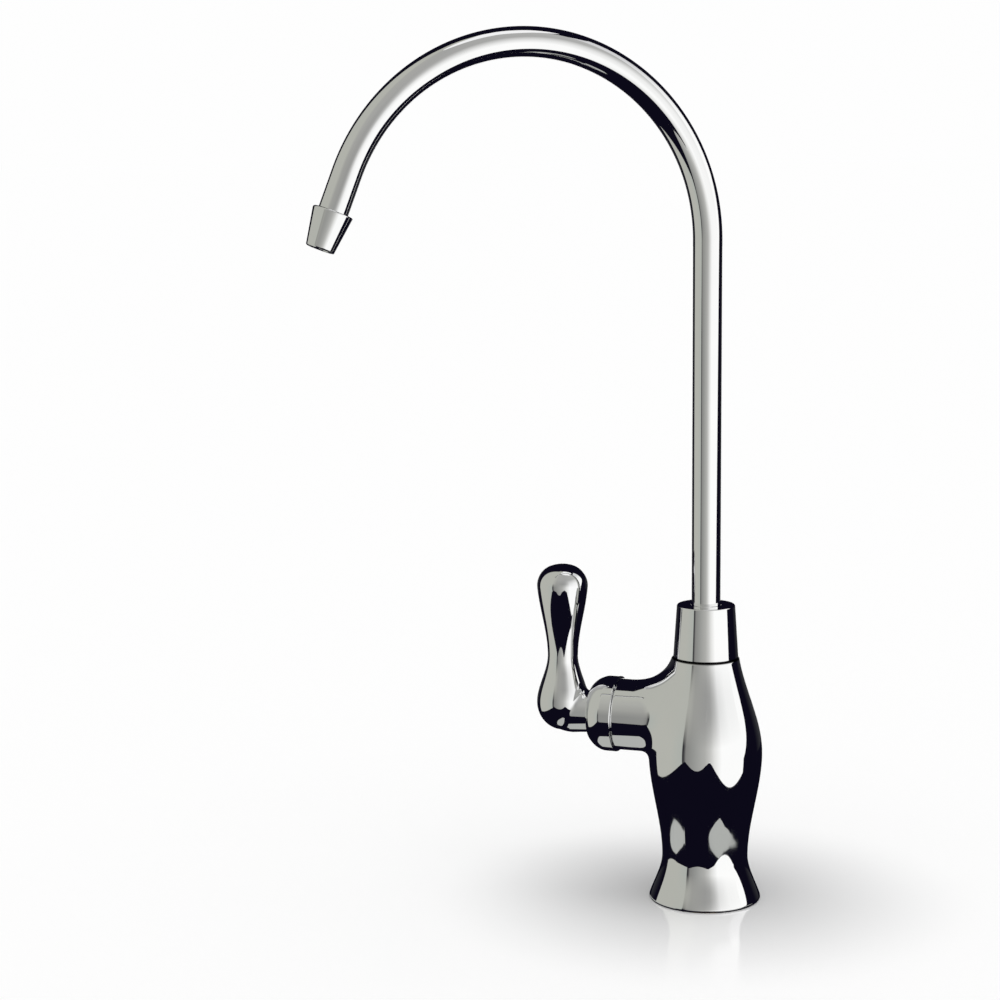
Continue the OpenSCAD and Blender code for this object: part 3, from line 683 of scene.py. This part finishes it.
def make_collar():
    hole_r = TUBE_R + RUN_GAP
    seam = [(COLLAR_BASE_R - SEAM_R + SEAM_R * math.sin(a), NECK_Z + SEAM_R - SEAM_R * math.cos(a))
            for a in np.linspace(0, math.pi / 2, SEAM_STEPS)]
    collar = soften([
        (COLLAR_BORE_R, NECK_Z), *seam, (COLLAR_TOP_R, COLLAR_Z), (hole_r, COLLAR_Z),
        (hole_r, COLLAR_CEILING_Z), (COLLAR_BORE_R, COLLAR_CEILING_Z)
    ], EDGE_R)
    shape = lathe(collar, np.zeros(3), UP, np.array([1.0, 0, 0]))
    chrome_piece("collar_polished", shape, "tap_body", "spout_collar", CHROME_WITH_JOINT_SHADE)


def make_bonnet():
    end_angle = math.acos(DOME_END_R / DOME_R)
    arc = [(DOME_R * math.cos(a), DOME_L + DOME_DEPTH * math.sin(a))
           for a in np.linspace(0, end_angle, DOME_STEPS)]
    dome = soften([
        (SHELL_SKIRT_R, STUB_LEN), (DOME_R, STUB_LEN), *arc, (STEM_HOLE_R, DOME_END_L),
        (STEM_HOLE_R, CLIP_ROOM_L), (CLIP_ROOM_R, CLIP_ROOM_L), (CLIP_ROOM_R, NOSE_L),
        (NOSE_THREAD_R, NOSE_L), (NOSE_THREAD_R, SHELL_SKIRT_L), (SHELL_SKIRT_R, SHELL_SKIRT_L)
    ], EDGE_R)
    chrome_piece("domed_nut_polished", lathe(dome, UP * VALVE_Z, AXIS, SIDE), "tap_body", "valve_bonnet")


def make_body():
    shape = cast(body_field, BODY_LOW, BODY_HIGH, BODY_STEP)
    chrome_piece("body_polished", shape, "tap_body", "body", CHROME_WITH_JOINT_SHADE)


def make_lever():
    shape = cast(lever_field, LEVER_LOW, LEVER_HIGH, LEVER_STEP)
    chrome_piece("lever_polished", shape, "lever", "lever_handle")


def make_shank():
    """Threaded shank: a fine screw thread cut into the solid's outside, with plain chamfered ends."""
    pitch = 1.058
    depth = 0.6
    flank = 1.3
    crest = 0.15
    chamfer = 1.2
    sharp = math.radians(40)
    rows_per_pitch = 8
    steps = 48
    length = SHANK_LEN + SHANK_TOP_Z
    heights = np.linspace(-SHANK_LEN, SHANK_TOP_Z, int(length / pitch * rows_per_pitch))
    angles = np.arange(steps) * 2 * math.pi / steps
    turn = heights[:, None] / pitch - angles[None] / (2 * math.pi)
    tooth = np.abs(2 * (turn % 1) - 1)
    radius = SHANK_R - depth * np.clip(tooth * flank - crest, 0, 1)
    from_end = np.minimum(heights + SHANK_LEN, SHANK_TOP_Z - heights)[:, None]
    radius = np.minimum(radius, SHANK_R - chamfer + from_end)
    levels = np.repeat(heights[:, None], steps, 1)
    wall = np.stack([radius * np.cos(angles), radius * np.sin(angles), levels], -1)
    bore = np.stack([SHANK_BORE_R * np.cos(angles), SHANK_BORE_R * np.sin(angles), 0 * angles], -1)
    top = bore + UP * SHANK_TOP_Z
    bottom = bore - UP * SHANK_LEN
    vertices = np.concatenate([wall.reshape(-1, 3), top, bottom])
    faces = closed_grid(len(heights) + 2, steps)
    mesh = bpy.data.meshes.new("shank_threaded")
    mesh.from_pydata((vertices * MM).tolist(), [], faces.tolist(), shade_flat=False)
    mesh.set_sharp_from_angle(angle=sharp)
    mesh.materials.append(MATERIALS["brass"])
    piece = bpy.data.objects.new("shank_threaded", mesh)
    bpy.context.scene.collection.objects.link(piece)
    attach(piece, "tap_body")
    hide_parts("shank")


# Studio: floor, backdrop light, and the cards that the chrome mirrors

# Camera: its place is in metres, its angles are in radians and its lens is in millimetres
CAMERA_PLACE = Vector((-0.35009, -0.73090, 0.26426))
CAMERA_HEADING = math.radians(69.454)
CAMERA_PITCH = 0.1497
CAMERA_ROLL = -0.0085
CAMERA_LENS = 85.12
CAMERA_SENSOR = 36.0
CAMERA_AZIMUTH = math.radians(-115.6)

# Light, backdrop and floor; the floor's gloss fades out between two distances in metres
BACKDROP = (0.99, 0.99, 0.99)
FILL = (0.64, 0.64, 0.64)
TOP_LEVEL = 0.36
TOP_TILT = math.radians(10)
TOP_ANGLE = math.radians(60)
FLOOR = (0.995, 0.995, 0.995)
GLOSS_SHARE = 0.3
GLOSS_ROUGHNESS = 0.1
GLOSS_START = 0.015
GLOSS_END = 0.1

# Tones of the cards
DARK = (0.004, 0.0034, 0.01)
DIM = (0.03, 0.03, 0.035)
DUSK = (0.07, 0.07, 0.075)
MIST = (0.45, 0.475, 0.44)
PALE = (0.46, 0.47, 0.45)
SAND = (0.485, 0.49, 0.445)
HAZE = (0.72, 0.72, 0.73)
WHITE = (1.08, 1.08, 1.07)

# Edges of the cards: azimuths in degrees from the camera, radii and heights in millimetres
LEFT_EDGE = -116
RIGHT_EDGE = 82
SIDE_EDGE = 115
BACK_EDGE = 360 + LEFT_EDGE
STRIP_START = 168
STRIP_END = 192
FAR = 900
BEHIND = FAR + 5
SLOT_R = 40
FLAG_HOLE_R = 1
FLAG_Z = -120
CARD_Z = -110
LOW_Z = 120
MIDDLE_Z = 430
HIGH_Z = 900
TOP_Z = 1860
SIDE_Z = 600
HAZE_Z = 1000
SIDE_TOP_Z = 1500
DUSK_Z = 150
NIGHT_Z = 230
STRIP_Z = 190
LOW_CARD_R = 36
LOW_LEFT = (-132, -49)
LOW_LEFT_Z = -7
LOW_RIGHT = (7, 90)
LOW_RIGHT_Z = -3


def make_camera():
    data = bpy.data.cameras.new("camera")
    data.lens = CAMERA_LENS
    data.sensor_width = CAMERA_SENSOR
    camera = bpy.data.objects.new("camera", data)
    bpy.context.scene.collection.objects.link(camera)
    level = Vector((math.cos(CAMERA_HEADING), math.sin(CAMERA_HEADING), 0))
    forward = level * math.cos(CAMERA_PITCH) - Vector((0, 0, 1)) * math.sin(CAMERA_PITCH)
    right = forward.cross(Vector((0, 0, 1))).normalized()
    above = right.cross(forward)
    tilted_right = right * math.cos(CAMERA_ROLL) + above * math.sin(CAMERA_ROLL)
    tilted_up = above * math.cos(CAMERA_ROLL) - right * math.sin(CAMERA_ROLL)
    turn = Matrix((tilted_right, tilted_up, -forward)).transposed().to_4x4()
    camera.matrix_world = Matrix.Translation(CAMERA_PLACE) @ turn
    bpy.context.scene.camera = camera


def make_world():
    """White for the camera and for mirrors, and a softer fill for matt surfaces."""
    world = bpy.data.worlds.new("world")
    world.use_nodes = True
    tree = world.node_tree
    path = tree.nodes.new("ShaderNodeLightPath")
    seen = path.outputs["Is Camera Ray"]
    for ray in ("Is Glossy Ray", "Is Transmission Ray"):
        add = tree.nodes.new("ShaderNodeMath")
        add.operation = "ADD"
        add.use_clamp = True
        tree.links.new(seen, add.inputs[0])
        tree.links.new(path.outputs[ray], add.inputs[1])
        seen = add.outputs["Value"]
    tone = tree.nodes.new("ShaderNodeMix")
    tone.data_type = "RGBA"
    tone.inputs["A"].default_value = (*FILL, 1)
    tone.inputs["B"].default_value = (*BACKDROP, 1)
    tree.links.new(seen, tone.inputs["Factor"])
    background = tree.nodes["Background"]
    background.inputs["Strength"].default_value = 1.0
    tree.links.new(tone.outputs["Result"], background.inputs["Color"])
    bpy.context.scene.world = world
    bpy.context.scene.view_settings.view_transform = "Standard"


def make_light():
    """One broad, soft light high overhead, a little to the camera's side."""
    data = bpy.data.lights.new("top_light", "SUN")
    data.angle = TOP_ANGLE
    data.energy = TOP_LEVEL * math.pi
    light = bpy.data.objects.new("top_light", data)
    bpy.context.scene.collection.objects.link(light)
    light.rotation_euler = (0, TOP_TILT, CAMERA_AZIMUTH)
    light.visible_glossy = False


def stage_mesh(name, vertices, faces, material):
    mesh = bpy.data.meshes.new(name)
    mesh.from_pydata([tuple(v) for v in vertices], [], faces)
    mesh.materials.append(material)
    thing = bpy.data.objects.new(name, mesh)
    bpy.context.scene.collection.objects.link(thing)
    return thing


def floor_material():
    """Pale matt floor, a little glossy round the foot, and clear when seen from below."""
    material = bpy.data.materials.new("floor")
    material.use_nodes = True
    tree = material.node_tree
    tree.nodes.clear()
    make = tree.nodes.new
    link = tree.links.new
    matt = make("ShaderNodeBsdfDiffuse")
    matt.inputs["Color"].default_value = (*FLOOR, 1)
    gloss = make("ShaderNodeBsdfGlossy")
    gloss.inputs["Color"].default_value = (*FLOOR, 1)
    gloss.inputs["Roughness"].default_value = GLOSS_ROUGHNESS
    place = make("ShaderNodeTexCoord")
    length = make("ShaderNodeVectorMath")
    length.operation = "LENGTH"
    link(place.outputs["Object"], length.inputs[0])
    fade = make("ShaderNodeMapRange")
    fade.interpolation_type = "SMOOTHSTEP"
    fade.inputs["From Min"].default_value = GLOSS_START
    fade.inputs["From Max"].default_value = GLOSS_END
    fade.inputs["To Min"].default_value = GLOSS_SHARE
    fade.inputs["To Max"].default_value = 0.0
    link(length.outputs["Value"], fade.inputs["Value"])
    top = make("ShaderNodeMixShader")
    link(fade.outputs["Result"], top.inputs["Fac"])
    link(matt.outputs["BSDF"], top.inputs[1])
    link(gloss.outputs["BSDF"], top.inputs[2])
    one_sided(tree, top.outputs["Shader"])
    return material


def one_sided(tree, shader):
    """Shows a shader on the front of its faces and nothing on their back."""
    clear = tree.nodes.new("ShaderNodeBsdfTransparent")
    side = tree.nodes.new("ShaderNodeNewGeometry")
    mix = tree.nodes.new("ShaderNodeMixShader")
    output = tree.nodes.new("ShaderNodeOutputMaterial")
    tree.links.new(side.outputs["Backfacing"], mix.inputs["Fac"])
    tree.links.new(shader, mix.inputs[1])
    tree.links.new(clear.outputs["BSDF"], mix.inputs[2])
    tree.links.new(mix.outputs["Shader"], output.inputs["Surface"])


def make_floor():
    steps = 64
    reach = 30.0
    ring = [(reach * math.cos(2 * math.pi * k / steps), reach * math.sin(2 * math.pi * k / steps), 0.0)
            for k in range(steps)]
    floor = stage_mesh("floor", ring, [tuple(range(steps))], floor_material())
    floor.visible_glossy = False


def card_material():
    material = bpy.data.materials.new("card")
    material.use_nodes = True
    tree = material.node_tree
    tree.nodes.clear()
    tone = tree.nodes.new("ShaderNodeVertexColor")
    tone.layer_name = "tone"
    glow = tree.nodes.new("ShaderNodeEmission")
    glow.inputs["Strength"].default_value = 1.0
    tree.links.new(tone.outputs["Color"], glow.inputs["Color"])
    one_sided(tree, glow.outputs["Emission"])
    return material


CARD = card_material()


def value_at(value, azimuth):
    """A value that is the same all round, or that is a function of the azimuth."""
    return value(azimuth) if callable(value) else value


def stops(*pairs):
    """Number or colour at an azimuth, between (azimuth, value) pairs."""
    places = [place for place, value in pairs]
    channels = np.array([np.atleast_1d(value) for place, value in pairs], float).T

    def at(azimuth):
        values = [float(np.interp(azimuth, places, channel)) for channel in channels]
        return values[0] if len(values) == 1 else tuple(values)

    return at


def petals(*forms):
    """Inner radius of the front card; each form is (middle azimuth, nearest radius, half width)."""
    def at(azimuth):
        reach = 1 / FAR
        for middle, near, half in forms:
            reach = max(reach, 1 / near - (1 / near - 1 / FAR) * ((azimuth - middle) / half) ** 2)
        return 1 / reach

    return at


def card(name, start, end, *rows):
    """A card swept round the tap between two azimuths from the camera, in degrees; only mirrors see it.
    Each row has a radius, a height and a colour, each fixed or a function of the azimuth."""
    steps = 2 * int(end - start)
    vertices = []
    colours = []
    for azimuth in np.linspace(start, end, steps + 1):
        a = CAMERA_AZIMUTH + math.radians(azimuth)
        for radius, height, tone in rows:
            r = value_at(radius, azimuth) * MM
            z = value_at(height, azimuth) * MM
            vertices.append((r * math.cos(a), r * math.sin(a), z))
            colours.append((*value_at(tone, azimuth), 1))
    n = len(rows)
    faces = []
    for k in range(steps):
        for j in range(n - 1):
            faces.append((k * n + j, k * n + j + 1, (k + 1) * n + j + 1, (k + 1) * n + j))
    thing = stage_mesh(name, vertices, faces, CARD)
    layer = thing.data.color_attributes.new("tone", "FLOAT_COLOR", "POINT")
    layer.data.foreach_set("color", np.array(colours, np.float32).ravel())
    thing.visible_camera = False
    thing.visible_diffuse = False
    thing.visible_transmission = False
    thing.visible_volume_scatter = False
    thing.visible_shadow = False


def make_front_cards():
    """Three pale petals in front, with a slot left open overhead, and a white card at their right."""
    low = stops(
        (LEFT_EDGE, SAND), (-75, SAND), (-48, MIST), (-46, DARK), (-42, (0.1, 0.1, 0.1)),
        (-39, (0.25, 0.25, 0.24)), (-23, (0.33, 0.335, 0.32)), (-1, (0.46, 0.46, 0.44)),
        (10, (0.62, 0.62, 0.6)), (18, (0.82, 0.82, 0.8)), (33, WHITE), (RIGHT_EDGE, WHITE)
    )
    middle = stops(
        (LEFT_EDGE, SAND), (-48, SAND), (-30, (0.36, 0.36, 0.34)), (1, (0.34, 0.34, 0.33)),
        (12, (0.38, 0.38, 0.37)), (23, (0.54, 0.54, 0.53)), (34, (0.8, 0.8, 0.79)),
        (56, (0.96, 0.96, 0.95)), (RIGHT_EDGE, (0.95, 0.95, 0.94))
    )
    high = stops(
        (LEFT_EDGE, SAND), (-48, SAND), (-30, (0.42, 0.42, 0.4)), (12, (0.4, 0.4, 0.39)),
        (RIGHT_EDGE, (0.48, 0.48, 0.47))
    )
    edge = petals((-95, 383, 55), (-17, 476, 24), (52, 297, 43))
    slot = stops(
        (LEFT_EDGE, SLOT_R), (-70, SLOT_R), (-40, 300), (0, 450), (50, 700), (60, FAR), (RIGHT_EDGE, FAR)
    )
    card("card_front", LEFT_EDGE, RIGHT_EDGE,
         (edge, CARD_Z, low), (FAR, CARD_Z, low), (FAR, LOW_Z, low), (FAR, MIDDLE_Z, middle),
         (FAR, HIGH_Z, high), (FAR, TOP_Z, high), (slot, TOP_Z, high))
    sill = stops((RIGHT_EDGE, CARD_Z), (92, 60), (SIDE_EDGE, MIDDLE_Z))
    card("card_side", RIGHT_EDGE, SIDE_EDGE,
         (FAR, sill, WHITE), (FAR, SIDE_Z, WHITE), (FAR, HAZE_Z, HAZE), (FAR, SIDE_TOP_Z, HAZE))


def make_back_cards():
    """Dark flags behind and below the tap, a white strip behind it and a pale roof at the left."""
    dusk = stops(
        (RIGHT_EDGE, DARK), (125, DARK), (150, DIM), (STRIP_START, DUSK), (STRIP_END, DUSK),
        (210, DIM), (235, DARK), (BACK_EDGE, DARK)
    )
    eave = stops(
        (RIGHT_EDGE, FAR), (100, FAR), (120, 400), (150, 230), (180, 200), (210, 230), (BACK_EDGE, 456)
    )
    card("flag_behind", RIGHT_EDGE, BACK_EDGE,
         (BEHIND, FLAG_Z, dusk), (BEHIND, DUSK_Z, dusk), (BEHIND, NIGHT_Z, DARK),
         (BEHIND, TOP_Z, DARK), (eave, TOP_Z, DARK))
    card("card_behind", STRIP_START, STRIP_END, (FAR, CARD_Z, WHITE), (FAR, STRIP_Z, WHITE))
    card("card_over_left", 180, BACK_EDGE, (eave, TOP_Z, SAND), (SLOT_R, TOP_Z, SAND))
    card("flag_floor", -180, 180, (FLAG_HOLE_R, FLAG_Z, DARK), (BEHIND, FLAG_Z, DARK))


def make_low_cards():
    """Two pale cards a little below the floor's level, which the waist and the stub's underside mirror."""
    left = stops((-132, 50), (-104, 73), (-76, 74), (-52, 66.5), (-49, 66.5))
    card("card_low_left", *LOW_LEFT, (LOW_CARD_R, LOW_LEFT_Z, PALE), (left, LOW_LEFT_Z, PALE))
    right = stops((7, 57), (33, 64.5), (46, 61.5), (62, 61.3), (90, 63.5))
    card("card_low_right", *LOW_RIGHT, (LOW_CARD_R, LOW_RIGHT_Z, PALE), (right, LOW_RIGHT_Z, PALE))


dress_nodes()
make_spout()
make_collar()
make_bonnet()
make_body()
make_lever()
make_shank()
make_camera()
make_world()
make_light()
make_floor()
make_front_cards()
make_back_cards()
make_low_cards()
